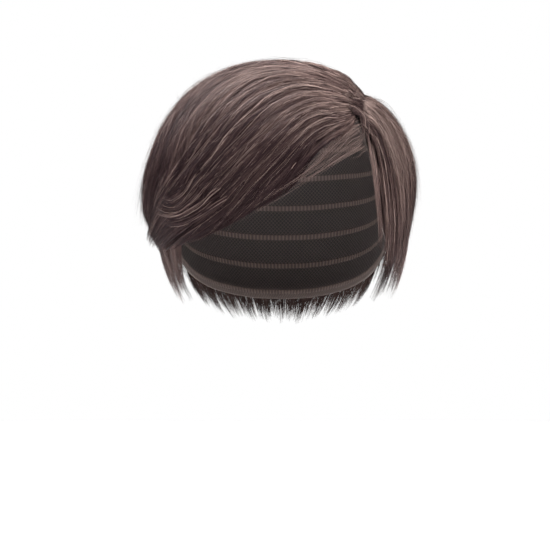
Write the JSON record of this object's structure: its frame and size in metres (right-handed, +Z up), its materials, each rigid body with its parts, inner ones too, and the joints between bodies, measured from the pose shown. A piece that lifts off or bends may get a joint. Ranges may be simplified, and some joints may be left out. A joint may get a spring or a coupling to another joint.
{
  "type": "wig",
  "caption": "Short brown side-parted wig: a fitted net cap with swept fringe, crown, side, back and nape hair that covers the top of a head.",
  "frame": {"origin": "inside top of the cap, where it sits on the top of a head", "axes": "+Z up, -Y out of the face opening, +X to the wearer's left, where the parting is"},
  "size_m": [0.1869, 0.2249, 0.1697],
  "materials": {
    "net_cap": "dark brown fine net",
    "outer_hair": "satin brown fibre with lighter strands",
    "under_hair": "satin dark brown fibre"
  },
  "bodies": {
    "root": {"cap": "net_cap", "fringe_sweep": "outer_hair", "crown_sweep": "outer_hair", "back_fall": "outer_hair", "left_side_fall": "outer_hair", "right_side_under": "under_hair", "left_side_under": "under_hair", "nape_under": "under_hair"}
  },
  "joints": []
}
